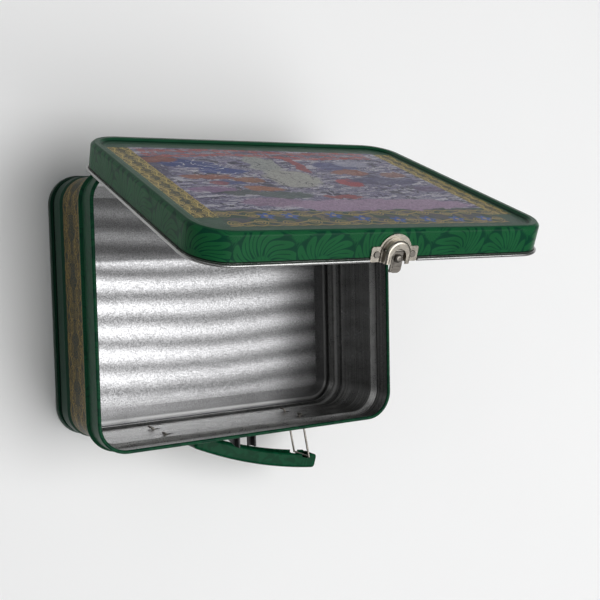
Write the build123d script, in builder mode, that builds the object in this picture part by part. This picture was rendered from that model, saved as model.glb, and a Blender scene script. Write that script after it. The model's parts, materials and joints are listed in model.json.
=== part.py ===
"""Hinged cookie tin with a latch, a catch and a folding carrying handle.

The tin lies on its bottom panel. +Z points out of its mouth, +Y points to the hinge wall,
and the origin is the centre of the base. Dimensions are in millimetres.
"""
import math
import os

from build123d import *

os.makedirs("parts", exist_ok=True)

# Tin body
BODY_LENGTH = 205.0
BODY_WIDTH = 164.0
BODY_HEIGHT = 80.0
CORNER_RADIUS = 18.0
SHEET = 0.8
CURL_RADIUS = 1.1
PANEL_RECESS = 1.0

# Lid, given closed
SKIRT_GAP = 0.4
SKIRT_BOTTOM = 65.2
LID_TOP = 81.6
LID_RECESS = 1.9
HEM_RADIUS = 0.8
OPEN_ANGLE = 70.0

# Hinges
HINGE_Y = 86.4
HINGE_Z = 64.2
HINGE_X = 56.0
HINGE_WIDTH = 20.0
KNUCKLE_RADIUS = 1.9
HINGE_PIN_RADIUS = 1.05
RUNNING_GAP = 0.05
LEAF = 0.7

# Latch, given with the lid closed
LATCH_WIDTH = 27.6
LATCH_TOP = 79.4
EAR_TOP = 73.0
DOME_RADIUS = 9.8
HOUSING_RADIUS = 7.3
HOUSING_DEPTH = 4.6
HOUSING_WALL = 0.7
RIVET_X = 10.6
RIVET_Z = 69.0
LEVER_WIDTH = 6.4
LEVER_PIN_Y = -85.55
LEVER_PIN_Z = 71.6
LEVER_PIN_RADIUS = 0.7

# Catch
SHELF_Z = 61.6
SHELF_THICKNESS = 1.0
CATCH_REACH = 93.0

# Handle
WIRE_RADIUS = 0.7
LEG_Z = (30.0, 50.0)
PIVOT_X = 48.5
PIVOT_Y = -80.6
LOOP_LENGTH = 28.95
LEFT_LOOP_ANGLE = 76.0
RIGHT_LOOP_ANGLE = 12.16
LEG_CRANK = 20.0
CRANK_LENGTH = 3.2
HOOK_LENGTH = 4.0
WIRE_SLOT = 4.8
GRIP_WIDTH = 17.4
GRIP_DEPTH = 10.0
GRIP_BOW = 3.8
GRIP_OVERHANG = 7.5
GRIP_SHEET = 0.9
OPEN_SLOT = (6.2, 3.2)
OPEN_SLOT_SHIFT = (1.78, 0.54)

HALF_L = BODY_LENGTH / 2
HALF_W = BODY_WIDTH / 2
SKIRT_OUT = SKIRT_GAP + SHEET
FRONT_SKIRT_Y = -(HALF_W + SKIRT_OUT)
LID_AXIS = Axis((0, HINGE_Y, HINGE_Z), (1, 0, 0))


def add_frame(points, mode=Mode.ADD, rounds=()):
    """Run a section, given as (offset, height), round the rounded rectangle of the body.

    Offset 0 is the nominal outer wall. rounds lists (offset, height, radius) of the section
    corners to round.
    """
    with BuildSketch(Plane.XZ) as section:
        with BuildLine():
            Polyline(*points, close=True)
        make_face()
        for offset, height, radius in rounds:
            corner = section.vertices().sort_by_distance((offset, height, 0))[0]
            fillet(corner, radius)
    add_frame_section(section.sketch, mode)


def add_frame_section(section, mode=Mode.ADD):
    """Run a section drawn on the XZ plane, x = offset, round the body outline."""
    flat_x = HALF_L - CORNER_RADIUS
    flat_y = HALF_W - CORNER_RADIUS
    for side in (-1, 1):
        turn = 0 if side == 1 else 180
        end = Rot(Z=turn) * Pos(HALF_L, 0, 0) * section
        extrude(end, amount=flat_y, both=True, dir=(0, 1, 0), mode=mode)
        turn = 90 if side == 1 else -90
        flank = Rot(Z=turn) * Pos(HALF_W, 0, 0) * section
        extrude(flank, amount=flat_x, both=True, dir=(1, 0, 0), mode=mode)
    for sign_x, sign_y, start in ((1, 1, 0), (-1, 1, 90), (-1, -1, 180), (1, -1, 270)):
        centre = Pos(sign_x * flat_x, sign_y * flat_y, 0)
        corner = centre * Rot(Z=start) * Pos(CORNER_RADIUS, 0, 0) * section
        axis = Axis((sign_x * flat_x, sign_y * flat_y, 0), (0, 0, 1))
        revolve(corner, axis=axis, revolution_arc=90, mode=mode)


def add_plate(offset, bottom, top, mode=Mode.ADD):
    """Add a rounded-rectangle plate whose edge lies at an offset from the nominal wall."""
    with BuildSketch(Plane.XY.offset(bottom)) as outline:
        RectangleRounded(
            BODY_LENGTH + 2 * offset,
            BODY_WIDTH + 2 * offset,
            CORNER_RADIUS + offset,
        )
    extrude(outline.sketch, amount=top - bottom, mode=mode)


def add_rod(points, radius):
    """Add a round wire through the points, with rounded elbows."""
    for start, end in zip(points[:-1], points[1:]):
        run = Vector(*end) - Vector(*start)
        middle = (Vector(*start) + Vector(*end)) * 0.5
        with Locations(Plane(origin=middle, z_dir=run.normalized())):
            Cylinder(radius, run.length)
    for point in points:
        with Locations(point):
            Sphere(radius)


def add_bar(x_from, x_to, y, z, radius, mode=Mode.ADD):
    """Add a round bar along X."""
    with Locations(Plane(origin=((x_from + x_to) / 2, y, z), z_dir=(1, 0, 0))):
        Cylinder(radius, x_to - x_from, mode=mode)


def add_block(low, high, mode=Mode.ADD):
    """Add a box between two corners."""
    middle = [(a + b) / 2 for a, b in zip(low, high)]
    sizes = [b - a for a, b in zip(low, high)]
    with Locations(tuple(middle)):
        Box(*sizes, mode=mode)


def save(part, label):
    """Label one subcomponent and write its STEP file."""
    part.label = label
    export_step(part, f"parts/{label}.step")


# Body wall: one sheet with a foot groove, a bulged band, a recessed panel, a stop lip for the lid
# and a neck that ends in an inward curl.
outer_line = (
    (0.0, 1.1),
    (0.0, 4.5),
    (-1.4, 5.8),
    (-1.4, 7.4),
    (0.0, 9.2),
    (0.0, 21.4),
    (-PANEL_RECESS, 23.6),
    (-PANEL_RECESS, 57.6),
    (-1.8, 58.8),
    (-1.8, 60.2),
    (1.6, 62.6),
    (1.6, 63.8),
    (0.0, 65.6),
    (0.0, BODY_HEIGHT - CURL_RADIUS),
)
inner_line = tuple((offset - SHEET, height) for offset, height in reversed(outer_line))
soft_corners = (
    (0.0, 9.2, 1.2),
    (0.0, 21.4, 1.2),
    (-PANEL_RECESS, 23.6, 1.0),
    (1.6, 62.6, 0.5),
    (1.6, 63.8, 0.5),
    (0.0, 65.6, 0.6),
)
with BuildPart() as body_wall:
    add_frame(outer_line + inner_line, rounds=soft_corners)
    with BuildSketch(Plane.XZ) as curl:
        with Locations((-CURL_RADIUS, BODY_HEIGHT - CURL_RADIUS)):
            Circle(CURL_RADIUS)
    add_frame_section(curl.sketch)
    # Slots that the handle wires swing in.
    for side in (-1, 1):
        for height in LEG_Z:
            with Locations((side * PIVOT_X, PIVOT_Y, height)):
                Box(WIRE_SLOT, 3.0, 2.2, mode=Mode.SUBTRACT)
save(body_wall.part, "body_wall")

# Bottom panel: a raised floor inside a seam ring that folds round the foot of the wall.
seam_section = (
    (-12.0, 3.0),
    (-2.9, 3.0),
    (-2.0, 0.3),
    (-1.7, 0.0),
    (0.9, 0.0),
    (1.2, 0.4),
    (1.2, 2.8),
    (0.9, 3.2),
    (0.05, 3.2),
    (0.05, 1.0),
    (-0.85, 1.0),
    (-0.85, 3.8),
    (-12.0, 3.8),
)
with BuildPart() as bottom_panel:
    add_frame(seam_section)
    add_plate(-9.0, 3.5, 4.3)
    add_plate(-9.0, 3.0, 3.5)
    add_plate(-10.0, 2.9, 3.5, mode=Mode.SUBTRACT)
save(bottom_panel.part, "bottom_panel")

# Lid: recessed top inside a raised rim, a skirt and an outward hem.
lid_section = (
    (SKIRT_GAP, SKIRT_BOTTOM),
    (SKIRT_OUT, SKIRT_BOTTOM),
    (SKIRT_OUT, LID_TOP - 1.7),
    (SKIRT_OUT - 1.7, LID_TOP),
    (-3.3, LID_TOP),
    (-5.3, LID_TOP - LID_RECESS),
    (-9.0, LID_TOP - LID_RECESS),
    (-9.0, LID_TOP - LID_RECESS - SHEET),
    (-5.6, LID_TOP - LID_RECESS - SHEET),
    (-3.6, LID_TOP - SHEET),
    (SKIRT_GAP - 1.2, LID_TOP - SHEET),
    (SKIRT_GAP, LID_TOP - 2.0),
)
lid_rounds = (
    (SKIRT_OUT, LID_TOP - 1.7, 1.6),
    (SKIRT_OUT - 1.7, LID_TOP, 0.9),
    (-3.3, LID_TOP, 0.8),
    (-5.3, LID_TOP - LID_RECESS, 0.8),
)
with BuildPart() as lid:
    add_frame(lid_section, rounds=lid_rounds)
    add_plate(-8.0, LID_TOP - LID_RECESS - SHEET, LID_TOP - LID_RECESS)
    with BuildSketch(Plane.XZ) as hem:
        with Locations((SKIRT_GAP + 1.5, SKIRT_BOTTOM + HEM_RADIUS - 0.1)):
            Circle(HEM_RADIUS)
    add_frame_section(hem.sketch)
    # The hem stops short of the latch plate.
    add_block(
        (-LATCH_WIDTH / 2 - 0.4, FRONT_SKIRT_Y - 3.0, SKIRT_BOTTOM - 1.0),
        (LATCH_WIDTH / 2 + 0.4, FRONT_SKIRT_Y, SKIRT_BOTTOM + 2.0),
        mode=Mode.SUBTRACT,
    )
    for side in (-1, 1):
        with Locations(Plane(origin=(side * RIVET_X, FRONT_SKIRT_Y, RIVET_Z), z_dir=(0, 1, 0))):
            Cylinder(1.05, 3.0, mode=Mode.SUBTRACT)
save(lid.part.rotate(LID_AXIS, -OPEN_ANGLE), "lid")

# Two hinges on the back wall, each with a leaf on the body, a leaf on the lid and a wire pin.
knuckle_inner_y = HINGE_Y - KNUCKLE_RADIUS
wall_face_y = HALF_W - PANEL_RECESS + 0.02
skirt_face_y = HALF_W + SKIRT_OUT + 0.02
body_strip = (
    (wall_face_y, 43.0),
    (wall_face_y, 57.2),
    (knuckle_inner_y, 60.4),
    (knuckle_inner_y, HINGE_Z),
    (knuckle_inner_y + LEAF, HINGE_Z),
    (knuckle_inner_y + LEAF, 59.9),
    (wall_face_y + LEAF, 56.7),
    (wall_face_y + LEAF, 43.0),
)
lid_strip = (
    (knuckle_inner_y + 0.5, HINGE_Z),
    (knuckle_inner_y + 0.5, 67.4),
    (skirt_face_y, 69.6),
    (skirt_face_y, 77.0),
    (skirt_face_y + LEAF, 77.0),
    (skirt_face_y + LEAF, 69.9),
    (knuckle_inner_y + 0.5 + LEAF, 67.8),
    (knuckle_inner_y + 0.5 + LEAF, HINGE_Z),
)
middle_half = 3.8
outer_from = middle_half + 0.35
outer_to = HINGE_WIDTH / 2
for side, name in ((-1, "left"), (1, "right")):
    centre = side * HINGE_X
    with BuildPart() as body_leaf:
        with BuildSketch(Plane.YZ.offset(centre)) as strip:
            with BuildLine():
                Polyline(*body_strip, close=True)
            make_face()
        extrude(strip.sketch, amount=middle_half, both=True)
        add_block(
            (centre - outer_to, wall_face_y, 43.0),
            (centre + outer_to, wall_face_y + LEAF, 56.0),
        )
        add_bar(centre - middle_half, centre + middle_half, HINGE_Y, HINGE_Z, KNUCKLE_RADIUS)
        add_bar(
            centre - outer_to,
            centre + outer_to,
            HINGE_Y,
            HINGE_Z,
            HINGE_PIN_RADIUS + RUNNING_GAP,
            mode=Mode.SUBTRACT,
        )
    save(body_leaf.part, f"hinge_body_leaf_{name}")

    with BuildPart() as lid_leaf:
        for way in (-1, 1):
            near = centre + way * outer_from
            far = centre + way * outer_to
            with BuildSketch(Plane.YZ.offset((near + far) / 2)) as strip:
                with BuildLine():
                    Polyline(*lid_strip, close=True)
                make_face()
            extrude(strip.sketch, amount=(outer_to - outer_from) / 2, both=True)
            add_bar(min(near, far), max(near, far), HINGE_Y, HINGE_Z, KNUCKLE_RADIUS)
        add_block(
            (centre - outer_to, skirt_face_y, 70.0),
            (centre + outer_to, skirt_face_y + LEAF, 77.0),
        )
        add_bar(
            centre - outer_to - 1,
            centre + outer_to + 1,
            HINGE_Y,
            HINGE_Z,
            HINGE_PIN_RADIUS + RUNNING_GAP,
            mode=Mode.SUBTRACT,
        )
    save(lid_leaf.part.rotate(LID_AXIS, -OPEN_ANGLE), f"hinge_lid_leaf_{name}")

    with BuildPart() as pin:
        add_bar(centre - outer_to - 1, centre + outer_to + 1, HINGE_Y, HINGE_Z, HINGE_PIN_RADIUS)
        for way in (-1, 1):
            head = centre + way * (outer_to + 0.8)
            add_bar(head - 0.45, head + 0.45, HINGE_Y, HINGE_Z, 1.6)
    save(pin.part, f"hinge_pin_{name}")

# Latch plate: two riveted ears, a dome and a raised arched housing that is open below.
plate_back = FRONT_SKIRT_Y - 0.02
plate_front = plate_back - SHEET
housing_front = plate_back - HOUSING_DEPTH
with BuildPart() as latch_plate:
    with BuildSketch(Plane.XZ.offset(-plate_back)) as outline:
        with Locations((0, (SKIRT_BOTTOM + EAR_TOP) / 2)):
            RectangleRounded(LATCH_WIDTH, EAR_TOP - SKIRT_BOTTOM, 1.0)
        with Locations((0, LATCH_TOP - DOME_RADIUS)):
            Circle(DOME_RADIUS)
        with Locations((0, SKIRT_BOTTOM - 10)):
            Rectangle(40, 20, mode=Mode.SUBTRACT)
    extrude(outline.sketch, amount=SHEET)
    # Stepped arch round the housing.
    with BuildSketch(Plane.XZ.offset(-plate_front)) as step:
        with Locations((0, LATCH_TOP - DOME_RADIUS)):
            Circle(HOUSING_RADIUS + 1.2)
        with Locations((0, (SKIRT_BOTTOM + LATCH_TOP - DOME_RADIUS) / 2)):
            Rectangle(2 * HOUSING_RADIUS + 2.4, LATCH_TOP - DOME_RADIUS - SKIRT_BOTTOM)
        with Locations((0, SKIRT_BOTTOM - 10)):
            Rectangle(40, 20, mode=Mode.SUBTRACT)
    extrude(step.sketch, amount=0.7)
    with BuildSketch(Plane.XZ.offset(-plate_back)) as shell:
        with Locations((0, LATCH_TOP - DOME_RADIUS)):
            Circle(HOUSING_RADIUS)
        with Locations((0, (SKIRT_BOTTOM + LATCH_TOP - DOME_RADIUS) / 2)):
            Rectangle(2 * HOUSING_RADIUS, LATCH_TOP - DOME_RADIUS - SKIRT_BOTTOM)
        with Locations((0, SKIRT_BOTTOM - 10)):
            Rectangle(40, 20, mode=Mode.SUBTRACT)
    extrude(shell.sketch, amount=HOUSING_DEPTH)
    rim_edges = latch_plate.faces().sort_by(Axis.Y)[0].edges().filter_by(GeomType.CIRCLE)
    fillet(rim_edges, 1.4)
    # Hollow of the housing, with a floor of sheet behind it and a mouth below.
    with BuildSketch(Plane.XZ.offset(-plate_front)) as hollow:
        with Locations((0, LATCH_TOP - DOME_RADIUS)):
            Circle(HOUSING_RADIUS - HOUSING_WALL)
        with Locations((0, (SKIRT_BOTTOM + LATCH_TOP - DOME_RADIUS) / 2 - 1)):
            Rectangle(
                2 * (HOUSING_RADIUS - HOUSING_WALL),
                LATCH_TOP - DOME_RADIUS - SKIRT_BOTTOM + 2,
            )
    extrude(hollow.sketch, amount=HOUSING_DEPTH - SHEET - HOUSING_WALL, mode=Mode.SUBTRACT)
    # Arched window for the thumb knob.
    with BuildSketch(Plane.XZ.offset(-housing_front - 2)) as window:
        with Locations((0, SKIRT_BOTTOM + 3.4)):
            Circle(4.3)
        with Locations((0, SKIRT_BOTTOM + 0.7)):
            Rectangle(8.6, 5.4)
    extrude(window.sketch, amount=4, mode=Mode.SUBTRACT)
    for side in (-1, 1):
        with Locations(Plane(origin=(side * RIVET_X, plate_back, RIVET_Z), z_dir=(0, 1, 0))):
            Cylinder(1.05, 3.0, mode=Mode.SUBTRACT)
    add_bar(
        -HOUSING_RADIUS - 1,
        HOUSING_RADIUS + 1,
        LEVER_PIN_Y,
        LEVER_PIN_Z,
        LEVER_PIN_RADIUS + RUNNING_GAP,
        mode=Mode.SUBTRACT,
    )
save(latch_plate.part.rotate(LID_AXIS, -OPEN_ANGLE), "latch_plate")

for side, name in ((-1, "left"), (1, "right")):
    with BuildPart() as rivet:
        with Locations(Plane(origin=(side * RIVET_X, plate_front + 0.7, RIVET_Z), z_dir=(0, 1, 0))):
            Cylinder(1.0, 1.6)
        with Locations(Plane(origin=(side * RIVET_X, plate_front - 0.32, RIVET_Z), z_dir=(0, 1, 0))):
            Cylinder(1.8, 0.6)
        fillet(rivet.faces().sort_by(Axis.Y)[0].edges(), 0.45)
    save(rivet.part.rotate(LID_AXIS, -OPEN_ANGLE), f"latch_rivet_{name}")

with BuildPart() as latch_pin:
    add_bar(-HOUSING_RADIUS - 0.2, HOUSING_RADIUS + 0.2, LEVER_PIN_Y, LEVER_PIN_Z, LEVER_PIN_RADIUS)
save(latch_pin.part.rotate(LID_AXIS, -OPEN_ANGLE), "latch_pin")

# Latch lever: a barrel on the pin, a blade, a thumb knob, a ridged tongue and an inward toe.
blade_back = LEVER_PIN_Y - 0.3
blade_front = blade_back - 1.1
tongue_bottom = 60.4
with BuildPart() as latch_lever:
    with Locations(Plane(origin=(0, blade_front - 0.6, 68.0), z_dir=(0, -1, 0))):
        Cylinder(2.2, 2.4)
    knob_face = latch_lever.faces().sort_by(Axis.Y)[0]
    fillet(knob_face.edges(), 1.3)
    with BuildSketch(Plane.XZ.offset(-blade_back)) as tongue:
        with Locations((0, 64.9)):
            RectangleRounded(LEVER_WIDTH, 9.0, 2.2)
    extrude(tongue.sketch, amount=blade_back - blade_front)
    add_block(
        (-LEVER_WIDTH / 2 + 0.1, blade_back - 0.8, 66.0),
        (LEVER_WIDTH / 2 - 0.1, blade_back + 0.1, LEVER_PIN_Z),
    )
    add_bar(-LEVER_WIDTH / 2, LEVER_WIDTH / 2, LEVER_PIN_Y, LEVER_PIN_Z, 1.2)
    for height in (61.9, 63.4):
        add_block((-2.2, blade_front - 0.4, height - 0.3), (2.2, blade_front + 0.2, height + 0.3))
    add_block(
        (-LEVER_WIDTH / 2 + 0.6, blade_back - 0.2, tongue_bottom),
        (LEVER_WIDTH / 2 - 0.6, blade_back + 1.1, tongue_bottom + 1.1),
    )
    add_bar(
        -LEVER_WIDTH,
        LEVER_WIDTH,
        LEVER_PIN_Y,
        LEVER_PIN_Z,
        LEVER_PIN_RADIUS + RUNNING_GAP,
        mode=Mode.SUBTRACT,
    )
save(latch_lever.part.rotate(LID_AXIS, -OPEN_ANGLE), "latch_lever")

# Two small torsion coils on the latch pin, one on each side of the lever.
coil_height = 2.2
for side, name in ((-1, "left"), (1, "right")):
    start = side * (LEVER_WIDTH / 2 + 0.35) if side == 1 else -(LEVER_WIDTH / 2 + 0.35 + coil_height)
    with BuildPart() as coil:
        with BuildLine() as coil_path:
            Helix(pitch=0.55, height=coil_height, radius=1.1)
        with BuildSketch(Plane(origin=coil_path.line @ 0, z_dir=coil_path.line % 0)) as wire:
            Circle(0.16)
        sweep(wire.sketch, path=coil_path.line, is_frenet=True)
    placed = Pos(start, LEVER_PIN_Y, LEVER_PIN_Z) * Rot(Y=90) * coil.part
    save(placed.rotate(LID_AXIS, -OPEN_ANGLE), f"latch_spring_{name}")

# Catch: a base pad on the front wall, a neck that passes in front of the lip, a shelf that the
# toe hooks under, and two cheeks that guide the tongue.
catch_face = -(HALF_W - PANEL_RECESS) - 0.02
shelf_back = -84.4
with BuildPart() as catch:
    add_block((-9.0, catch_face - 0.8, 50.8), (7.6, catch_face, 57.8))
    add_block((-7.0, shelf_back, 56.8), (7.6, catch_face, 57.8))
    add_block((-7.0, shelf_back, 56.8), (7.6, shelf_back + 0.5, SHELF_Z + SHELF_THICKNESS))
    add_block(
        (-3.6, blade_back + 0.3, SHELF_Z),
        (3.6, shelf_back + 0.2, SHELF_Z + SHELF_THICKNESS),
    )
    with BuildSketch(Plane.XY.offset(56.8)) as wing:
        with BuildLine():
            Polyline(
                (-12.5, shelf_back),
                (-12.5, shelf_back + 0.5),
                (-3.9, shelf_back + 0.5),
                (-3.9, -CATCH_REACH + 0.6),
                (-4.9, -CATCH_REACH + 0.6),
                close=True,
            )
        make_face()
    extrude(wing.sketch, amount=1.2)
    add_block((3.9, -CATCH_REACH, 56.8), (7.6, shelf_back + 0.2, 58.0))
    add_block((6.6, -CATCH_REACH, 56.8), (7.6, shelf_back + 0.2, 62.6))
    add_block((-4.9, -CATCH_REACH + 0.6, 56.8), (-3.9, shelf_back + 0.2, 62.6))
save(catch.part, "catch")

# Handle: two wire loops that swing in the wall slots, and a bowed grip between them.
left_pivot = Vector(-PIVOT_X, PIVOT_Y, 0)
right_pivot = Vector(PIVOT_X, PIVOT_Y, 0)


def swing(angle):
    """Direction from a wall pivot at an angle from straight out towards +X."""
    turn = math.radians(angle)
    return Vector(math.sin(turn), -math.cos(turn), 0)


loops = (
    ("left", left_pivot, LEFT_LOOP_ANGLE, LEFT_LOOP_ANGLE - LEG_CRANK),
    ("right", right_pivot, RIGHT_LOOP_ANGLE, RIGHT_LOOP_ANGLE + LEG_CRANK),
)
loop_ends = []
for name, pivot, angle, crank_angle in loops:
    tip = pivot + swing(angle) * LOOP_LENGTH
    crank = swing(crank_angle) * CRANK_LENGTH
    low, high = LEG_Z
    path = (
        pivot - crank + Vector(0, 0, low - HOOK_LENGTH),
        pivot - crank + Vector(0, 0, low),
        pivot + crank + Vector(0, 0, low),
        tip + Vector(0, 0, low),
        tip + Vector(0, 0, high),
        pivot + crank + Vector(0, 0, high),
        pivot - crank + Vector(0, 0, high),
        pivot - crank + Vector(0, 0, high + HOOK_LENGTH),
    )
    with BuildPart() as wire_loop:
        add_rod([tuple(point) for point in path], WIRE_RADIUS)
    save(wire_loop.part, f"handle_wire_{name}")
    loop_ends.append(tip)

# Grip: a bowed channel, open towards the wall, drawn along +X from its left pivot.
grip_length = (loop_ends[1] - loop_ends[0]).length
run = loop_ends[1] - loop_ends[0]
grip_tilt = math.degrees(math.atan2(run.Y, run.X))
mid_z = (LEG_Z[0] + LEG_Z[1]) / 2


def bowed_band(outer_y, inner_y, start, end):
    """Sketch a band between two parallel arcs on the XY plane."""
    middle = (start + end) / 2
    with BuildSketch(Plane.XY.offset(mid_z)) as band:
        with BuildLine():
            ThreePointArc((start, outer_y), (middle, outer_y - GRIP_BOW), (end, outer_y))
            Line((end, outer_y), (end, inner_y))
            ThreePointArc((end, inner_y), (middle, inner_y - GRIP_BOW), (start, inner_y))
            Line((start, inner_y), (start, outer_y))
        make_face()
    return band.sketch


with BuildPart() as handle_grip:
    outer_face = -6.8
    inner_edge = outer_face + GRIP_DEPTH
    start = -GRIP_OVERHANG
    end = grip_length + GRIP_OVERHANG
    extrude(bowed_band(outer_face, inner_edge, start, end), amount=GRIP_WIDTH / 2, both=True)
    corners = handle_grip.edges().filter_by(Axis.Z)
    fillet(corners, 2.6)
    rim = handle_grip.faces().sort_by(Axis.Y)[0].edges()
    fillet(rim.filter_by(GeomType.CIRCLE), 2.2)
    extrude(
        bowed_band(
            outer_face + GRIP_SHEET,
            inner_edge + 3.0,
            start + GRIP_SHEET,
            end - GRIP_SHEET,
        ),
        amount=GRIP_WIDTH / 2 - GRIP_SHEET,
        both=True,
        mode=Mode.SUBTRACT,
    )
    with Locations((0, 0, mid_z)):
        Cylinder(WIRE_RADIUS + RUNNING_GAP, GRIP_WIDTH + 4, mode=Mode.SUBTRACT)
    with BuildSketch(Plane.XY.offset(mid_z)) as slot:
        with Locations((grip_length - OPEN_SLOT_SHIFT[0], OPEN_SLOT_SHIFT[1])):
            SlotOverall(*OPEN_SLOT)
    extrude(slot.sketch, amount=GRIP_WIDTH, both=True, mode=Mode.SUBTRACT)
placed_grip = Pos(loop_ends[0].X, loop_ends[0].Y, 0) * Rot(Z=grip_tilt) * handle_grip.part
save(placed_grip, "handle_grip")
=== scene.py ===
"""The looks of the hinged cookie tin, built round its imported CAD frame.

Lengths in this file are in millimetres, in the tin's own frame, except for HINGE_PLACE, the
floor and the lamps, which are in metres. A point on a wall is also given as (along, out, up): its
distance along the wall from the middle of a side, its distance outside the tin's rounded outline,
and its height. The lid's print works in the frame that the lid has when it is shut, so it stays
the same however far the lid is open.
"""

import functools
import json
import math

import bmesh
import bpy
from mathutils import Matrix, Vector
from mathutils.geometry import delaunay_2d_cdt


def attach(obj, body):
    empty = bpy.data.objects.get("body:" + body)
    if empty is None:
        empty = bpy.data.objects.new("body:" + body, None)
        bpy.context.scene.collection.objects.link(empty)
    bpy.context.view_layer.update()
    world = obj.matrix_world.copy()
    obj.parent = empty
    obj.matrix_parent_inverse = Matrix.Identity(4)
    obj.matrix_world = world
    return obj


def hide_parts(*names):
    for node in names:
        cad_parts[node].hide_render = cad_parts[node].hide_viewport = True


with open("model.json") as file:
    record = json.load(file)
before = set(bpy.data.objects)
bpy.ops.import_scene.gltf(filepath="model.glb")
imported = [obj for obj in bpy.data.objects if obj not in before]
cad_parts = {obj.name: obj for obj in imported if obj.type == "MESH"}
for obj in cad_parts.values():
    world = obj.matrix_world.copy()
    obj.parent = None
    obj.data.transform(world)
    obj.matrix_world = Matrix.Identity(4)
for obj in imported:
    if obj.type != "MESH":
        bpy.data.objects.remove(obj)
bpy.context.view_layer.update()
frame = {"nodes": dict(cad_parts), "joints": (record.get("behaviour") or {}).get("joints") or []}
NODES = frame["nodes"]

MM = 0.001
# The rounded outline of the body: half its length and width, and its corner radius.
HALF_L, HALF_W, CORNER = 102.5, 82.0, 18.0
FLAT_X, FLAT_Y = HALF_L - CORNER, HALF_W - CORNER
# The faint rolls across the bottom panel, from crest to crest.
WAVE_PITCH = 15.8
hinge = next(j for j in frame["joints"] if j["name"] == "lid_hinge")
HINGE_PLACE = Vector(hinge["pos_m"])
OPEN_ANGLE = math.radians(-hinge["range_deg"][0])


# ---------------------------------------------------------------- arithmetic in a node tree


class Num:
    """A number in a material's node tree that ordinary arithmetic works on."""

    def __init__(self, tree, value):
        self.tree, self.value = tree, value

    def op(self, name, *others, clamp=False):
        node = self.tree.nodes.new("ShaderNodeMath")
        node.operation = name
        node.use_clamp = clamp
        for socket, item in zip(node.inputs, (self,) + others):
            item = item.value if isinstance(item, Num) else item
            if isinstance(item, (int, float)):
                socket.default_value = item
            else:
                self.tree.links.new(item, socket)
        return Num(self.tree, node.outputs[0])

    def __add__(self, b):
        return self.op("ADD", b)

    def __mul__(self, b):
        return self.op("MULTIPLY", b)

    def __sub__(self, b):
        return self.op("SUBTRACT", b)

    def __rsub__(self, b):
        return Num(self.tree, b).op("SUBTRACT", self)

    def __neg__(self):
        return self.op("MULTIPLY", -1.0)

    def __abs__(self):
        return self.op("ABSOLUTE")

    def fract(self):
        return self.op("FRACT")

    def sin(self):
        return self.op("SINE")

    def cos(self):
        return self.op("COSINE")

    def sqrt(self):
        return self.op("SQRT")

    def least(self, b):
        return self.op("MINIMUM", b)

    def most(self, b):
        return self.op("MAXIMUM", b)

    def clamp(self):
        return self.op("ADD", 0.0, clamp=True)

    def rise(self, low, high):
        """0 below low, 1 above high, smooth between. low may be the larger, for a fall."""
        node = self.tree.nodes.new("ShaderNodeMapRange")
        node.interpolation_type = "SMOOTHSTEP"
        inputs = node.inputs
        self.tree.links.new(self.value, inputs["Value"])
        flip = low > high
        inputs["From Min"].default_value = min(low, high)
        inputs["From Max"].default_value = max(low, high)
        inputs["To Min"].default_value = 1.0 if flip else 0.0
        inputs["To Max"].default_value = 0.0 if flip else 1.0
        return Num(self.tree, node.outputs["Result"])

    def band(self, low, high, soft):
        """1 between low and high, 0 outside them, with edges soft to either side."""
        return self.rise(low - soft, low + soft) * self.rise(high + soft, high - soft)

    def blend(self, start, end):
        """start where this is 0, end where it is 1. One of the two is a Num."""
        return (end - start) * self + start


def angle_of(y, x):
    return y.op("ARCTAN2", x)


def length_of(x, y):
    return (x * x + y * y).sqrt()


def together(masks):
    """1 wherever one of the masks is."""
    return functools.reduce(Num.most, masks)


def blob(x, y, centre, size, soft=0.35):
    """1 inside an ellipse, 0 outside it, with a soft edge as a share of its radius."""
    across = (x - centre[0]) * (1.0 / size[0])
    along = (y - centre[1]) * (1.0 / size[1])
    return length_of(across, along).rise(1.0 + soft, 1.0 - soft)


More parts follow.
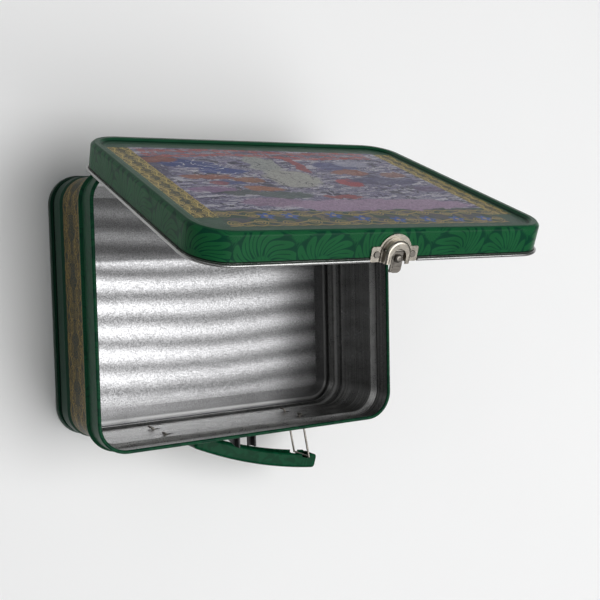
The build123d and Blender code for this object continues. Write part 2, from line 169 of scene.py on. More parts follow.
class Paint:
    """A new material with its surface shader and the helpers that fill it.

    lid says that its coordinates are those of the shut lid.
    """

    def __init__(self, name, lid=False):
        self.material = bpy.data.materials.new(name)
        self.material.use_nodes = True
        self.tree = self.material.node_tree
        self.shader = self.tree.nodes["Principled BSDF"]
        coords = self.tree.nodes.new("ShaderNodeTexCoord").outputs["Object"]
        if lid:
            turn = self.tree.nodes.new("ShaderNodeVectorRotate")
            turn.rotation_type = "X_AXIS"
            self.tree.links.new(coords, turn.inputs["Vector"])
            turn.inputs["Center"].default_value = HINGE_PLACE
            turn.inputs["Angle"].default_value = OPEN_ANGLE
            coords = turn.outputs[0]
        scale = self.tree.nodes.new("ShaderNodeVectorMath")
        scale.operation = "SCALE"
        self.tree.links.new(coords, scale.inputs[0])
        scale.inputs["Scale"].default_value = 1.0 / MM
        self.place = scale.outputs[0]
        split = self.tree.nodes.new("ShaderNodeSeparateXYZ")
        self.tree.links.new(self.place, split.inputs[0])
        self.x, self.y, self.z = (Num(self.tree, out) for out in split.outputs)

    def wall_frame(self):
        """(along, out, up) of the rounded outline."""
        wide, deep = abs(self.x), abs(self.y)
        over_x, over_y = wide - FLAT_X, deep - FLAT_Y
        turn_x, turn_y = over_x.most(0.0), over_y.most(0.0)
        out = length_of(turn_x, turn_y) + over_x.most(over_y).least(0.0) - CORNER
        along = wide.least(FLAT_X) + angle_of(turn_x, turn_y) * CORNER + (-over_y).most(0.0)
        return along, out, self.z

    def vector(self, x, y=0.0, z=0.0):
        join = self.tree.nodes.new("ShaderNodeCombineXYZ")
        for socket, item in zip(join.inputs, (x, y, z)):
            if isinstance(item, Num):
                self.tree.links.new(item.value, socket)
            else:
                socket.default_value = item
        return join.outputs[0]

    def noise(self, size, place=None, detail=3.0, rough=0.55, twist=0.0):
        """Soft noise between 0 and 1, with features about size mm across."""
        node = self.tree.nodes.new("ShaderNodeTexNoise")
        self.tree.links.new(place or self.place, node.inputs["Vector"])
        node.inputs["Scale"].default_value = 1.0 / size
        node.inputs["Detail"].default_value = detail
        node.inputs["Roughness"].default_value = rough
        node.inputs["Distortion"].default_value = twist
        return Num(self.tree, node.outputs[0])

    def mix(self, share, first, second):
        """second laid over first where share is 1. Both are colours or colour outputs."""
        node = self.tree.nodes.new("ShaderNodeMix")
        node.data_type = "RGBA"
        share = share.value if isinstance(share, Num) else share
        if isinstance(share, float):
            node.inputs["Factor"].default_value = share
        else:
            self.tree.links.new(share, node.inputs["Factor"])
        for socket, colour in ((node.inputs[6], first), (node.inputs[7], second)):
            if isinstance(colour, tuple):
                socket.default_value = colour + (1.0,)
            else:
                self.tree.links.new(colour, socket)
        return node.outputs[2]

    def shade(self, colour, amount):
        """colour made lighter or darker by the factor amount."""
        node = self.tree.nodes.new("ShaderNodeVectorMath")
        node.operation = "SCALE"
        if isinstance(colour, tuple):
            node.inputs[0].default_value = colour
        else:
            self.tree.links.new(colour, node.inputs[0])
        self.tree.links.new(amount.value, node.inputs["Scale"])
        return node.outputs[0]

    def ramp(self, number, stops):
        """The colour that the stops, (number, colour) in rising order, give for a number."""
        node = self.tree.nodes.new("ShaderNodeValToRGB")
        self.tree.links.new(number.value, node.inputs[0])
        marks = node.color_ramp.elements
        while len(marks) < len(stops):
            marks.new(0.5)
        for mark, (place, colour) in zip(marks, stops):
            mark.position = place
            mark.color = colour + (1.0,)
        return node.outputs[0]

    def put(self, socket, item):
        """Sets the shader's socket to a number or colour, or links a Num or output to it."""
        if isinstance(item, Num):
            item = item.value
        if isinstance(item, tuple):
            self.shader.inputs[socket].default_value = item + (1.0,)
        elif isinstance(item, (int, float)):
            self.shader.inputs[socket].default_value = item
        else:
            self.tree.links.new(item, self.shader.inputs[socket])

    def relief(self, height, depth):
        """Bumps the surface by height times depth mm."""
        bump = self.tree.nodes.new("ShaderNodeBump")
        bump.inputs["Distance"].default_value = depth * MM
        bump.inputs["Strength"].default_value = 1.0
        self.tree.links.new(height.value, bump.inputs["Height"])
        self.tree.links.new(bump.outputs[0], self.shader.inputs["Normal"])


# ---------------------------------------------------------------- printed patterns


def fans(along, height, size, shift, sign):
    """A row of fans of curved petals, one every size mm along. sign is the way they curl.

    Returns the petal mask, and the distance from a fan's foot as a share of size.
    """
    side = ((along * (1.0 / size) + shift).fract() - 0.5) * size
    reach = length_of(side, height) * (1.0 / size)
    turn = angle_of(side, height) + reach * (1.5 * sign)
    across = (turn * 2.2 + 0.5).fract() * 2.0 - 1.0
    length = (reach - 0.34) * (1.0 / 0.25)
    petal = (across * across + length * length).rise(0.92, 0.72)
    vein = abs(across).rise(0.04, 0.14).most(length.rise(0.3, 0.5))
    return petal.most(reach.rise(0.17, 0.13)) * vein, reach


def damask(paint, along, up, size, base):
    """Fans of petals standing on the line up = base, with others hanging between them.

    Returns the petal mask, 1 on a petal and 0 on the ground between petals.
    """
    drift = paint.noise(size * 0.8, detail=1.0) - 0.5
    along = along + drift * (size * 0.45)
    above = up + drift * (size * 0.30) - base
    standing, reach = fans(along, above + 1.0, size, 0.0, 1.0)
    hanging, _ = fans(along, -above + size * 0.50, size, 0.5, -1.0)
    return standing.most(hanging * (1.0 - reach.rise(0.62, 0.56)))


# The side shoots of a vine: where each sits along its pitch, how far out and how wide it is, the
# last two as shares of the strip's half width.
SHOOTS = ((0.25, 0.60, 0.36), (0.75, 0.44, 0.34), (0.0, 0.80, 0.2), (0.5, 0.22, 0.2))


def scrollwork(u, v, pitch, reach):
    """Fine vines with curling side shoots, in a strip of half width reach round v = 0.

    The strip is mirrored about v = 0. Returns the mask of the drawn lines.
    """
    half = abs(v)
    step = u * (1.0 / pitch)
    wave = (step * math.tau).sin() * (reach * 0.16) + reach * 0.52
    lines = abs(half - wave).rise(reach * 0.085, reach * 0.035)
    for shift, level, wide in SHOOTS:
        side = ((step + shift).fract() - 0.5) * pitch
        rise = half - reach * level
        ring = length_of(side, rise)
        turn = angle_of(rise, side) * (1.0 / math.tau)
        coil = (ring * (2.6 / (reach * wide)) - turn).fract() - 0.5
        curl = abs(coil).rise(0.27, 0.15) * ring.rise(reach * wide * 1.1, reach * wide)
        lines = lines.most(curl)
    leaf = (step * (math.tau * 4.0)).sin() * 0.5 + 0.5
    edge = half + leaf * (reach * 0.09)
    border = abs(edge - reach * 0.93).rise(reach * 0.07, reach * 0.03)
    return lines.most(border)


def flower(x, y, centre, size, petals):
    """The masks of a flower's petals and of its eye."""
    side, rise = x - centre[0], y - centre[1]
    ring = length_of(side, rise)
    rim = (angle_of(rise, side) * float(petals)).cos() * (size * 0.24) + size * 0.76
    return (ring - rim).rise(size * 0.1, -size * 0.1), ring.rise(size * 0.30, size * 0.20)


# ---------------------------------------------------------------- materials

BOTTLE = (0.005, 0.040, 0.021)
MID_GREEN = (0.009, 0.078, 0.032)
LEAF_GREEN = (0.013, 0.112, 0.036)
SKIRT_GROUND = (0.003, 0.043, 0.022)
OLD_GOLD = (0.250, 0.175, 0.048)
SLATE = (0.012, 0.026, 0.024)
TIN = (0.34, 0.34, 0.335)
PANEL_TIN = (0.60, 0.60, 0.61)

# The middle of the body's sheet as (up, out), which splits its printed face from its bare one.
WALL_MIDDLE = (
    (0.0, -0.4),
    (4.5, -0.4),
    (5.8, -1.8),
    (7.4, -1.8),
    (9.2, -0.4),
    (21.4, -0.4),
    (23.6, -1.4),
    (57.6, -1.4),
    (58.8, -2.2),
    (60.2, -2.2),
    (62.6, 1.2),
    (63.8, 1.2),
    (65.6, -0.4),
)
# A colour ramp holds heights up to MIDDLE_UP, and distances up to MIDDLE_OUT either way.
MIDDLE_UP, MIDDLE_OUT = 100.0, 4.0
# Heights on the body's printed face.
FOOT_GROOVE = (4.9, 8.0)
GOLD_BAND = (24.2, 56.0)
MOUTH_CURL = (77.0, 77.3)
# On its bare face: painted highlights on the wide bead (low, high, softness) and on fine lines
# (low, high, strength), and painted shade in the hollows beside them (low, high, softness).
BEAD = (11.0, 15.0, 1.6)
FINE_HIGHLIGHTS = (
    (22.4, 23.0, 0.75),
    (24.4, 24.9, 0.75),
    (64.0, 65.0, 0.75),
    (66.6, 67.1, 0.45),
    (70.8, 71.4, 0.45),
)
HOLLOW_SHADES = ((18.2, 21.4, 0.8), (4.6, 6.8, 0.6), (65.4, 66.2, 0.3))
# Places of painted shade inside the front wall, the wire slots and two small dents, as (x, up),
# and their half width and height.
WIRE_SLOTS = ((-48.5, 30.0), (-48.5, 50.0), (48.5, 30.0), (48.5, 50.0))
WALL_SPOTS = ((-38.7, 12.7), (35.7, 15.8))
SLOT_SIZE, SPOT_SIZE = (4.2, 1.9), (2.4, 1.3)


def tin_finish(paint, along, up):
    """Bare rolled tinplate: its colour, roughness and fine grain.

    The sheet's rolling marks run along the walls.
    """
    drawn = paint.vector(along * (1 / 70.0), up * (1 / 1.7), 4.0)
    drawn = paint.noise(1.0, place=drawn, detail=3.0)
    streak = paint.noise(9.0, detail=2.0)
    speck = paint.noise(0.5, detail=1.0)
    shade = (drawn - 0.5) * 1.5 + (streak - 0.5) * 0.3 + (speck - 0.5) * 0.3 + 1.0
    rough = (speck - 0.5) * 0.25 + (streak - 0.5) * 0.12 + 0.30
    return paint.shade(TIN, shade.most(0.15)), rough, speck


def make_body():
    """Green print with a gold band outside, bare tinplate inside, with painted light and shade.
    """
    paint = Paint("body_print_and_tin")
    along, out, up = paint.wall_frame()
    stops = [
        (height / MIDDLE_UP, ((place + MIDDLE_OUT) / (2.0 * MIDDLE_OUT),) * 3)
        for height, place in WALL_MIDDLE
    ]
    middle = Num(paint.tree, paint.ramp(up * (1.0 / MIDDLE_UP), stops))
    middle = middle * (2.0 * MIDDLE_OUT) - MIDDLE_OUT
    painted = (out - middle).rise(-0.02, 0.02).most(up.rise(*MOUTH_CURL))
    wear = paint.noise(14.0, detail=4.0)
    chip = paint.noise(1.3, detail=3.0)

    leaves = damask(paint, along, up, 22.0, 60.0)
    green = paint.mix(leaves * 0.55, BOTTLE, MID_GREEN)
    lace = scrollwork(along, up - 40.0, 29.0, 15.6)
    crumbs = paint.noise(0.9, detail=2.0).rise(0.46, 0.56)
    gold = paint.mix(paint.noise(2.2).rise(0.4, 0.65), OLD_GOLD, (0.130, 0.090, 0.028))
    ground = paint.mix(crumbs * 0.5, SLATE, (0.085, 0.068, 0.024))
    strip = paint.mix((lace * 0.9 + crumbs * 0.25).clamp(), ground, gold)
    colour = paint.mix(up.band(*GOLD_BAND, 0.3), green, strip)
    # Painted shade: the foot groove is darkened almost to black.
    groove_shade = up.band(*FOOT_GROOVE, 0.5)
    colour = paint.mix(groove_shade * 0.85, colour, (0.003, 0.005, 0.004))
    colour = paint.shade(colour, wear * 0.35 + 0.83)

    bare, bare_rough, speck = tin_finish(paint, along, up)
    # Painted highlights stand in for the beads rolled into the wall, and painted shade for the
    # dark hollows beside them.
    bead = up.band(*BEAD)
    lines = bead * 0.9
    for low, high, strength in FINE_HIGHLIGHTS:
        lines = lines.most(up.band(low, high, 0.35) * strength)
    hollow_shade = together(up.band(*place) for place in HOLLOW_SHADES)
    # Painted light on the front wall: it is paler all over, and painted streaks of reflected
    # light run along it.
    front = paint.y.rise(-62.0, -76.0)
    front_sheen_streaks = paint.vector(along * (1 / 60.0), up * (1 / 1.3), 11.0)
    front_sheen_streaks = paint.noise(1.0, place=front_sheen_streaks, detail=3.0).rise(0.50, 0.64)
    bare = paint.shade(bare, (front * 0.35 + 1.0) * (1.0 - hollow_shade * 0.6))
    bare = paint.mix(front_sheen_streaks * front * 0.55, bare, (0.80, 0.80, 0.79))
    bare = paint.mix(lines * (wear * 0.6 + 0.5).least(1.0), bare, (0.84, 0.84, 0.83))
    ragged_x = paint.x + (wear - 0.5) * 2.0
    marks = [(place, SLOT_SIZE) for place in WIRE_SLOTS]
    marks += [(place, SPOT_SIZE) for place in WALL_SPOTS]
    holes = together(blob(ragged_x, up, place, size, 0.3) for place, size in marks) * front
    # Painted shade darkens the wire slots and the two small dents.
    bare = paint.mix(holes * 0.9, bare, (0.012, 0.012, 0.012))
    paint.put("Base Color", paint.mix(painted, bare, colour))
    bare_metal = (1.0 - lines * 0.80 - front_sheen_streaks * front * 0.25).most(0.0)
    paint.put("Metallic", painted.blend(bare_metal, 0.0))
    enamel_rough = wear * 0.18 + chip * 0.08 + 0.20
    paint.put("Roughness", painted.blend(bare_rough, enamel_rough))
    paint.put("Specular IOR Level", 0.06)
    bare_height = speck * 0.6 + wear * 1.6 + bead * 3.0 - holes * 2.0
    paint.relief(painted.blend(bare_height, wear * 1.2 + lace * 0.5), 0.10)
    return paint.material


def make_bottom():
    """Bare tinplate with painted highlights and shade, and green enamel on the seam ring."""
    paint = Paint("panel_tinplate")
    along, out, up = paint.wall_frame()
    seam = out.rise(-0.9, -0.7)
    ripple = paint.noise(60.0, detail=1.0)
    bow = (paint.x * (1 / 50.0)).cos() * 3.0
    wave = ((paint.y + ripple * 4.0 + bow) * (math.tau / WAVE_PITCH)).cos() * 0.5 + 0.5
    panel = out.rise(-12.6, -13.4)
    edge = out.rise(-3.0, -4.0) - panel
    grain = paint.noise(0.55, detail=1.0)
    speck = paint.noise(0.9, detail=1.0).rise(0.42, 0.60)
    scratch = paint.vector(paint.x * (1 / 40.0), paint.y * 1.2, 2.0)
    scratch = paint.noise(1.0, place=scratch, detail=2.0)
    # Painted light and shade, the same at every pose: painted highlights on the crests of the
    # rolls, a paler left end where more light falls, painted shade on the strip between the flat
    # middle and the seam, and a painted shadow of the open lid.
    painted_light_and_grain = panel.blend(0.44 - edge * 0.14, wave * 0.29 + 0.18)
    painted_light_and_grain = painted_light_and_grain * (paint.x.rise(50.0, -95.0) * 0.45 + 1.0)
    lid_shadow = panel * paint.y.rise(26.0, 29.0)
    painted_light_and_grain = (lid_shadow * 0.85).blend(painted_light_and_grain, paint.y.rise(30.0, 52.0) * 0.08 + 0.09)
    painted_light_and_grain = painted_light_and_grain * (grain * 1.5 + 0.25).most(0.3) * (scratch * 0.3 + 0.85)
    # A painted highlight along the rib inside the seam.
    rib_highlight = out.band(-5.4, -3.6, 0.6)
    bare = paint.mix(rib_highlight * 0.6, paint.shade(PANEL_TIN, painted_light_and_grain), (0.70, 0.70, 0.70))
    green = paint.shade(BOTTLE, paint.noise(8.0) * 0.6 + 0.7)
    paint.put("Base Color", paint.mix(seam, bare, green))
    paint.put("Metallic", 1.0 - seam * 0.9)
    paint.put("Roughness", panel.blend(Num(paint.tree, 0.28), speck * 0.16 + 0.30))
    paint.relief(grain, 0.05)
    return paint.material


# The print on the lid: the colours that the swirling ground runs through, then soft-edged shapes
# laid over it, each a centre (x, y), half width and height, colour and strength.
SWEEP_COLOURS = (
    (0.30, (0.016, 0.018, 0.060)),
    (0.40, (0.080, 0.070, 0.150)),
    (0.46, (0.230, 0.205, 0.330)),
    (0.51, (0.055, 0.055, 0.130)),
    (0.57, (0.340, 0.325, 0.410)),
    (0.63, (0.090, 0.080, 0.160)),
    (0.70, (0.260, 0.235, 0.340)),
)
PRINTED_SHAPES = (
    ((-64.0, 32.0), (17.0, 8.0), (0.012, 0.034, 0.190), 0.95),
    ((-44.0, 22.0), (14.0, 8.0), (0.016, 0.042, 0.220), 0.95),
    ((-76.0, 40.0), (10.0, 6.0), (0.230, 0.050, 0.016), 0.85),
    ((-82.0, 22.0), (6.0, 12.0), (0.035, 0.030, 0.090), 0.80),
    ((-58.0, 9.0), (17.0, 4.5), (0.260, 0.070, 0.022), 0.85),
    ((-36.0, 4.0), (10.0, 5.0), (0.260, 0.090, 0.022), 0.80),
    ((-50.0, -2.0), (9.0, 4.0), (0.016, 0.040, 0.190), 0.85),
    ((-58.0, -3.0), (5.0, 4.0), (0.250, 0.030, 0.040), 0.80),
    ((-36.0, -12.0), (13.0, 5.0), (0.340, 0.120, 0.040), 0.85),
    ((-52.0, -20.0), (12.0, 5.0), (0.035, 0.060, 0.050), 0.80),
    ((-30.0, -24.0), (16.0, 6.0), (0.045, 0.085, 0.075), 0.85),
    ((-66.0, -14.0), (14.0, 4.0), (0.240, 0.130, 0.260), 0.80),
    ((-14.0, 36.0), (9.0, 20.0), (0.300, 0.320, 0.300), 0.90),
    ((-8.0, 8.0), (15.0, 17.0), (0.360, 0.360, 0.330), 0.95),
    ((10.0, 38.0), (4.0, 19.0), (0.280, 0.035, 0.040), 0.90),
    ((24.0, -1.0), (8.0, 8.0), (0.340, 0.040, 0.055), 0.95),
    ((36.0, 34.0), (16.0, 9.0), (0.050, 0.060, 0.200), 0.80),
    ((38.0, 20.0), (12.0, 6.0), (0.250, 0.075, 0.035), 0.85),
    ((52.0, 40.0), (12.0, 7.0), (0.300, 0.300, 0.400), 0.80),
    ((68.0, 18.0), (9.0, 5.0), (0.220, 0.080, 0.050), 0.80),
    ((50.0, 4.0), (24.0, 8.0), (0.028, 0.026, 0.120), 0.75),
    ((72.0, -12.0), (12.0, 6.0), (0.100, 0.060, 0.150), 0.80),
    ((4.0, -26.0), (13.0, 3.0), (0.280, 0.045, 0.045), 0.85),
    ((20.0, -40.0), (60.0, 10.0), (0.330, 0.225, 0.340), 0.95),
    ((-44.0, -35.0), (16.0, 6.0), (0.260, 0.160, 0.260), 0.80),
)
BLOSSOM_PLACES = (-58.0, -45.0, -20.0, -6.0, 14.0, 33.0, 52.0, 71.0)
# The middle of the blossom strip and of the red scrolls, in y, and of the end lace, in x.
BLOSSOM_Y, TITLE_Y, LACE_X = -60.0, 57.0, 89.4


def make_lid():
    """Printed picture in a green frame outside, bare tinplate inside."""
    paint = Paint("lid_print", lid=True)
    along, out, up = paint.wall_frame()
    x, y = paint.x, paint.y
    # The inside of the lid is bare tinplate. The middle of the sheet splits the two faces.
    outside = out.rise(0.75, 0.85).most((up + out).rise(80.4, 80.5)).most(up.rise(81.15, 81.25))
    slope = (up - out).rise(84.65, 84.75) * out.rise(-5.9, -5.7)
    outside = outside.most(slope).most(up.rise(79.25, 79.35) * out.rise(-4.9, -5.1))
    hem = up.rise(66.9, 66.7) * out.rise(0.6, 0.7)
    # Painted shade: a near-black line in the groove above the hem.
    groove_shade = up.band(66.9, 67.5, 0.15) * out.rise(1.0, 1.15)

    # Skirt: fans of lighter petals on a dark green.
    leaves = damask(paint, along + 6.0, up, 31.0, 66.0)
    green = paint.mix(leaves * 0.64, SKIRT_GROUND, LEAF_GREEN)
    green = paint.shade(green, paint.noise(16.0) * 0.5 + 0.75)

    # Printed picture: an abstract ground of swirls, streaks and ink, with soft shapes over it.
    warp = paint.noise(18.0, detail=3.0, twist=1.2)
    flow = paint.vector(x * 0.7 + warp * 34.0, y * 1.6 + warp * 30.0, 3.0)
    sweep = paint.noise(9.0, place=flow, detail=4.0, rough=0.6)
    art = paint.ramp(sweep, SWEEP_COLOURS)
    streak_place = paint.vector(x * 0.35 + warp * 20.0, y * 1.3 - x * 0.25, 9.0)
    streak = paint.noise(3.4, place=streak_place, detail=2.0).rise(0.54, 0.60)
    art = paint.mix(streak * 0.85, art, (0.50, 0.49, 0.55))
    ink_place = paint.vector(x * 0.5 - warp * 14.0, y + warp * 22.0, 17.0)
    ink = paint.noise(4.6, place=ink_place, detail=2.0).rise(0.57, 0.63)
    art = paint.mix(ink * 0.85, art, (0.010, 0.012, 0.040))
    fuzz = (warp - 0.5) * 18.0
    for centre, size, tint, amount in PRINTED_SHAPES:
        art = paint.mix(blob(x + fuzz, y + fuzz * 0.7, centre, size, 0.12) * amount, art, tint)
    # Ink contours follow the swirls.
    contour = abs((sweep * 15.0 + warp * 2.0).fract() - 0.5).rise(0.10, 0.04)
    art = paint.mix(contour * 0.55, art, (0.020, 0.018, 0.045))
    # Dark folds over the pale shape in the middle, and white arcs over the blue ones.
    fold = abs((x * 0.24 + y * 0.09 + warp * 8.0).sin()).rise(0.20, 0.06)
    fold = fold * blob(x, y, (-8.0, 14.0), (24.0, 32.0))
    art = paint.mix(fold * 0.80, art, (0.045, 0.050, 0.070))
    arcs = length_of(x + 44.0, (y - 36.0) * 1.5) * 0.30 + warp * 13.0
    arcs = abs(arcs.sin()).rise(0.24, 0.12) * blob(x, y, (-52.0, 24.0), (26.0, 13.0))
    art = paint.mix(arcs * 0.85, art, (0.62, 0.62, 0.66))
    grain = paint.noise(1.1, detail=2.0)
    art = paint.shade(art, grain * 1.1 + 0.40)

    # Blue blossom and gold scrolls along the latch side.
    verge = (y + (warp - 0.5) * 14.0 + abs(x) * -0.05).rise(-49.0, -52.0)
    mottle = paint.noise(6.0).rise(0.4, 0.6)
    verge_ground = paint.mix(mottle, (0.010, 0.048, 0.026), (0.060, 0.062, 0.075))
    art = paint.mix(verge, art, verge_ground)
    scroll = scrollwork(x, y - BLOSSOM_Y, 29.0, 11.0)
    art = paint.mix(scroll * verge * 0.9, art, (0.300, 0.220, 0.060))
    for place in BLOSSOM_PLACES:
        petal, eye = flower(x, y, (place, BLOSSOM_Y - 4.0 * math.sin(place)), 4.8, 5)
        art = paint.mix(petal * 0.9, art, (0.022, 0.085, 0.320))
        art = paint.mix(eye * 0.8, art, (0.400, 0.280, 0.060))

    # Plain red scrolls along the hinge side, where the real tin has its title.
    bend = (x * 0.07).sin() * 2.5
    title_span = x.band(-80.0, 74.0, 2.0)
    backing = (y - TITLE_Y + bend).band(-7.5, 7.5, 1.0) * title_span
    art = paint.mix(backing * 0.45, art, (0.120, 0.100, 0.140))
    title = scrollwork(x, y - TITLE_Y + bend, 24.0, 8.0)
    art = paint.mix(title * title_span * 0.95, art, (0.420, 0.045, 0.022))

    # Gold lace at both ends, and the green frame round the picture.
    lace = scrollwork(y, abs(x) - LACE_X, 13.0, 6.6)
    flecks = grain.rise(0.45, 0.55) * 0.6
    lace_ground = paint.mix(flecks, (0.026, 0.034, 0.014), (0.200, 0.145, 0.036))
    lace_paint = paint.mix(lace * 0.9, lace_ground, (0.480, 0.360, 0.090))
    ragged = (paint.noise(3.0) - 0.5) * 2.0
    end = (abs(x) + ragged).band(83.2, 95.4, 0.4) * (y + ragged).band(-57.5, 64.0, 0.4)
    margin = (paint.noise(7.0) - 0.5) * 0.8
    border = together(
        (
            (abs(x) + margin).rise(83.0, 83.6),
            (y + margin).rise(65.4, 66.0),
            (margin - y).rise(70.4, 71.0),
        )
    )
    mottle = paint.noise(4.0).rise(0.4, 0.6) * 0.4
    frame_green = paint.mix(mottle, (0.012, 0.060, 0.032), (0.020, 0.085, 0.044))
    top = paint.mix(border, art, frame_green)
    top = paint.mix(end, top, lace_paint)
    # A faint grey haze over the print is a painted reflection.
    reflection_haze = paint.noise(60.0, detail=2.0).rise(0.4, 0.7)
    top = paint.mix(reflection_haze * 0.08, top, (0.16, 0.165, 0.175))
    picture = out.rise(-4.9, -5.5)
    rim = paint.shade((0.012, 0.070, 0.034), paint.noise(9.0) * 0.6 + 0.7)
    # Painted shade darkens the crease at the edge of the picture.
    rim = paint.mix(out.band(-5.3, -4.5, 0.3), rim, (0.003, 0.026, 0.013))
    top = paint.mix(out.band(-6.9, -6.2, 0.2) * 0.7, top, (0.060, 0.130, 0.085))
    colour = paint.mix(out.rise(-0.2, 0.3), paint.mix(picture, rim, top), green)
    colour = paint.mix(groove_shade, colour, (0.003, 0.004, 0.004))

    painted = outside * (1.0 - hem)
    bare, bare_rough, speck = tin_finish(paint, along, up)
    wear = paint.noise(12.0, detail=4.0)
    paint.put("Base Color", paint.mix(painted, bare, colour))
    paint.put("Metallic", 1.0 - painted)
    paint.put("Roughness", painted.blend(bare_rough, wear * 0.2 + 0.24))
    paint.put("Specular IOR Level", 0.07)
    paint.relief(painted.blend(speck * 0.6 + wear, wear * 1.2 + leaves * 0.2), 0.09)
    return paint.material


def make_metal(name, tint, rough, wear_size=3.0, dirt=0.4):
    """Worn bare metal. dirt is how dark its soiled patches are."""
    paint = Paint(name)
    wear = paint.noise(wear_size, detail=4.0)
    speck = paint.noise(0.5, detail=2.0)
    soil = paint.noise(wear_size * 1.7, detail=3.0).rise(0.55, 0.75)
    colour = paint.shade(tint, wear * 0.45 + 0.76)
    paint.put("Base Color", paint.mix(soil * dirt, colour, tuple(c * 0.35 for c in tint)))
    paint.put("Metallic", 1.0)
    paint.put("Roughness", wear * 0.22 + speck * 0.10 + rough - 0.14)
    paint.relief(wear + speck * 0.5, 0.05)
    return paint.material


def make_enamel(name, tint, rough, gloss):
    """Clouded enamel with a fine orange peel."""
    paint = Paint(name)
    wear = paint.noise(10.0, detail=4.0)
    peel = paint.noise(1.1, detail=2.0)
    cloud = paint.noise(9.0, detail=1.0, twist=2.0).rise(0.44, 0.56)
    colour = paint.shade(tint, wear * 0.5 + cloud * 0.30 + 0.62)
    paint.put("Base Color", colour)
    paint.put("Roughness", wear * 0.16 + peel * 0.08 + rough - 0.12)
    paint.put("Specular IOR Level", gloss)
    paint.relief(peel * 0.4 + wear, 0.06)
    return paint.material


NICKEL = make_metal("worn_nickel", (0.44, 0.405, 0.35), 0.30)
DARK_NICKEL = make_metal("lever_nickel", (0.20, 0.185, 0.165), 0.36, dirt=0.7)
RIVET = make_metal("rivet_steel", (0.20, 0.185, 0.165), 0.45, dirt=0.7)
SPRING = make_metal("spring_steel", (0.58, 0.58, 0.58), 0.30, wear_size=6.0)
WIRE = make_metal("handle_wire", (0.30, 0.28, 0.25), 0.34, wear_size=5.0, dirt=0.6)
HINGE = make_metal("hinge_plate", (0.26, 0.26, 0.25), 0.40, wear_size=4.0, dirt=0.7)
# The nickel catch is coloured near black: painted shade and a painted dark reflection.
CATCH_SHADE_BLACK = make_enamel("catch_painted_shade", (0.020, 0.021, 0.022), 0.42, 0.25)
GRIP = make_enamel("grip_green", (0.003, 0.050, 0.021), 0.20, 0.05)

FINISHES = {
    "body_wall": make_body(),
    "bottom_panel": make_bottom(),
    "lid": make_lid(),
    "latch_plate": NICKEL,
    "latch_lever": DARK_NICKEL,
    "latch_pin": RIVET,
    "catch": CATCH_SHADE_BLACK,
    "handle_grip": GRIP,
}
for end in ("left", "right"):
    FINISHES["hinge_body_leaf_" + end] = HINGE
    FINISHES["hinge_lid_leaf_" + end] = HINGE
    FINISHES["hinge_pin_" + end] = SPRING
    FINISHES["latch_rivet_" + end] = RIVET
    FINISHES["latch_spring_" + end] = SPRING
    FINISHES["handle_wire_" + end] = WIRE
for name, finish in FINISHES.items():
    piece = NODES[name]
    piece.data.materials.clear()
    piece.data.materials.append(finish)

# ---------------------------------------------------------------- bottom panel


# The bottom panel's top and underside, and how far inside the outline its flat middle starts.
PANEL_TOP, PANEL_UNDER, PANEL_INSET = 4.12, 3.5, 13.4
WAVE_DEPTH = 0.13
CROSSED_DENT = (-61.0, -48.5)
KNOCKS = ((-10.8, -48.6), (35.5, -50.7))
# The section of the sheet and its folded seam as (out, up), from the edge of the flat middle's
# top, round the seam, to the edge of its underside. Where up is None, the panel's height holds.
SHEET_SECTION = (
    (-PANEL_INSET, None),
    (-11.5, 4.02),
    (-8.0, 3.90),
    (-3.0, 3.80),
    (-1.2, 3.80),
    (-0.88, 3.74),
    (-0.85, 1.00),
    (0.05, 1.00),
    (0.05, 3.08),
    (0.12, 3.18),
    (0.30, 3.24),
    (0.80, 3.20),
    (1.08, 3.02),
    (1.20, 2.70),
    (1.20, 0.55),
    (1.10, 0.22),
    (0.80, 0.02),
    (0.50, 0.00),
    (-1.50, 0.00),
    (-1.80, 0.05),
    (-2.00, 0.30),
    (-2.80, 2.80),
    (-3.10, 3.00),
    (-9.80, 3.00),
    (-10.0, 3.10),
    (-10.2, 3.40),
    (-10.6, PANEL_UNDER),
    (-PANEL_INSET, PANEL_UNDER),
)
# The grid that fills the flat middle: its spacing, how many steps it goes either side of the
# centre, and how far it keeps inside the straight and the rounded edge.
GRID_STEP, GRID_X, GRID_Y = 2.6, 36, 28
STRAIGHT_GAP, ROUND_GAP = 1.6, 1.2
# The outline's pieces in each corner, and the least spacing of its points along a side.
CORNER_PIECES, SIDE_STEP = 12, 7.0
# Folds sharper than this stay sharp when the sheet is shaded smooth.
SHARP_ANGLE = math.radians(34)


def outline(out):
    """Points of the rounded outline, moved outward by out, anticlockwise, in millimetres."""
    radius = CORNER + out
    points = []
    for sign_x, sign_y, start in ((1, 1, 0), (-1, 1, 90), (-1, -1, 180), (1, -1, 270)):
        for i in range(CORNER_PIECES + 1):
            turn = math.radians(start + 90.0 * i / CORNER_PIECES)
            x = sign_x * FLAT_X + radius * math.cos(turn)
            y = sign_y * FLAT_Y + radius * math.sin(turn)
            points.append((x, y))
        # The straight side to the next corner runs along x and along y in turn.
        last = Vector(points[-1])
        if sign_x == sign_y:
            ahead = Vector((-sign_x * FLAT_X, last.y))
        else:
            ahead = Vector((last.x, -sign_y * FLAT_Y))
        run = ahead - last
        count = int(run.length // SIDE_STEP)
        points += [tuple(last + run * (k / count)) for k in range(1, count)]
    return points


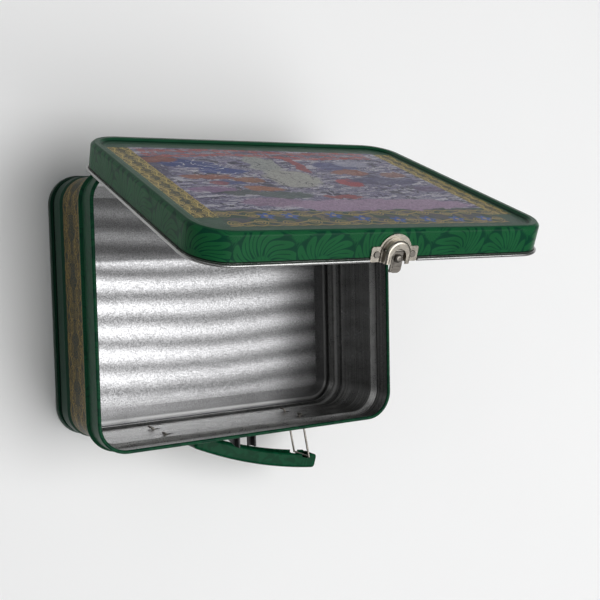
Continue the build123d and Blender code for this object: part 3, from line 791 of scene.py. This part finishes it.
def panel_height(x, y):
    """Top of the bottom panel: faint rolls across it, a crossed dent and two small knocks."""
    bow = 3.0 * math.cos(x / 50.0)
    phase = (y + bow) * math.tau / WAVE_PITCH + 0.4 * math.sin(x / 31.0)
    height = PANEL_TOP + WAVE_DEPTH * math.cos(phase)
    side, rise = x - CROSSED_DENT[0], y - CROSSED_DENT[1]
    across, along = (side + rise) * 0.7, (side - rise) * 0.7
    spread = math.exp(-(side * side + rise * rise) / 160.0)
    height -= 0.22 * spread * (math.exp(-across * across / 5.0) + math.exp(-along * along / 5.0))
    for place_x, place_y in KNOCKS:
        height -= 0.20 * math.exp(-((x - place_x) ** 2 + (y - place_y) ** 2) / 4.0)
    return height


def in_flat_middle(x, y):
    """True where a grid point is far enough inside the edge of the flat middle."""
    over_x, over_y = abs(x) - FLAT_X, abs(y) - FLAT_Y
    radius = CORNER - PANEL_INSET
    return (
        max(over_x, over_y) < radius - STRAIGHT_GAP
        and math.hypot(max(over_x, 0), max(over_y, 0)) < radius - ROUND_GAP
    )


def make_bottom_sheet():
    """The bottom panel with its rolls, dents and seam, which stands for the CAD's plain one."""
    mesh = bmesh.new()
    rows = []
    for out, up in SHEET_SECTION:
        rows.append([
            mesh.verts.new(Vector((x, y, panel_height(x, y) if up is None else up)) * MM)
            for x, y in outline(out)
        ])
    count = len(rows[0])
    for low, high in zip(rows, rows[1:]):
        for i in range(count):
            k = (i + 1) % count
            mesh.faces.new((low[i], high[i], high[k], low[k]))
    # The flat middle of both faces is a grid cut to the innermost outline.
    places = (
        (i * GRID_STEP, k * GRID_STEP)
        for i in range(-GRID_X, GRID_X + 1)
        for k in range(-GRID_Y, GRID_Y + 1)
    )
    grid = [Vector(place) for place in places if in_flat_middle(*place)]
    edge = [Vector(point) for point in outline(-PANEL_INSET)]
    loop = [(i, (i + 1) % count) for i in range(count)]
    spots, _, faces, origin, _, _ = delaunay_2d_cdt(edge + grid, loop, [], 1, 1e-5)
    for row, top in ((rows[0], True), (rows[-1], False)):
        corner = {}
        for i, spot in enumerate(spots):
            known = [k for k in origin[i] if k < count]
            height = panel_height(*spot) if top else PANEL_UNDER
            corner[i] = row[known[0]] if known else mesh.verts.new(Vector((*spot, height)) * MM)
        for face in faces:
            mesh.faces.new([corner[i] for i in (face if top else reversed(face))])
    bmesh.ops.recalc_face_normals(mesh, faces=mesh.faces)
    for face in mesh.faces:
        face.smooth = True
    for line in mesh.edges:
        if line.calc_face_angle(0.0) > SHARP_ANGLE:
            line.smooth = False
    data = bpy.data.meshes.new("bottom_sheet")
    mesh.to_mesh(data)
    mesh.free()
    sheet = bpy.data.objects.new("bottom_sheet", data)
    bpy.context.scene.collection.objects.link(sheet)
    data.materials.append(FINISHES["bottom_panel"])
    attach(sheet, "tin")
    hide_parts("bottom_panel")


make_bottom_sheet()

# ---------------------------------------------------------------- floor, light and camera


def make_floor():
    mesh = bpy.data.meshes.new("floor")
    reach = 6.0
    signs = ((-1, -1), (1, -1), (1, 1), (-1, 1))
    corners = [(sign_x * reach, sign_y * reach, 0.0) for sign_x, sign_y in signs]
    mesh.from_pydata(corners, [], [(0, 1, 2, 3)])
    floor = bpy.data.objects.new("floor", mesh)
    bpy.context.scene.collection.objects.link(floor)
    paint = Paint("pale_floor")
    paint.put("Base Color", paint.shade((0.93, 0.93, 0.93), paint.noise(300.0) * 0.04 + 0.98))
    paint.put("Roughness", 0.8)
    mesh.materials.append(paint.material)


def lamp(name, place, aim, size, power):
    """A rectangular lamp at place, turned to aim. Both are in metres, and power is in watts."""
    data = bpy.data.lights.new(name, "AREA")
    data.shape = "RECTANGLE"
    data.size, data.size_y = size
    data.energy = power
    light = bpy.data.objects.new(name, data)
    light.location = place
    light.rotation_euler = (Vector(aim) - Vector(place)).to_track_quat("-Z", "Y").to_euler()
    bpy.context.scene.collection.objects.link(light)


make_floor()
lamp("key", (0.42, -0.20, 1.5), (0.0, 0.0, 0.05), (1.5, 0.9), 9.0)
lamp("softbox", (0.8, -0.3, 2.4), (0.2, 0.0, 0.0), (2.8, 2.4), 42.0)
lamp("fill", (-1.3, 0.9, 1.6), (0.0, 0.0, 0.0), (1.6, 1.6), 5.0)

world = bpy.data.worlds.new("studio")
bpy.context.scene.world = world
world.use_nodes = True
backdrop = world.node_tree.nodes["Background"]
backdrop.inputs["Color"].default_value = (0.92, 0.93, 0.94, 1.0)
backdrop.inputs["Strength"].default_value = 0.12
bpy.context.scene.view_settings.view_transform = "Standard"

# The camera's place and turn were solved from the photograph.
CAMERA_PLACE, CAMERA_TURN = (-273.25, 43.82, 597.5), (-3.333, -30.651, -1.403)
camera_data = bpy.data.cameras.new("camera")
camera_data.sensor_width = 36.0
camera_data.lens = 56.81
camera = bpy.data.objects.new("camera", camera_data)
camera.location = Vector(CAMERA_PLACE) * MM
camera.rotation_euler = [math.radians(angle) for angle in CAMERA_TURN]
bpy.context.scene.collection.objects.link(camera)
bpy.context.scene.camera = camera
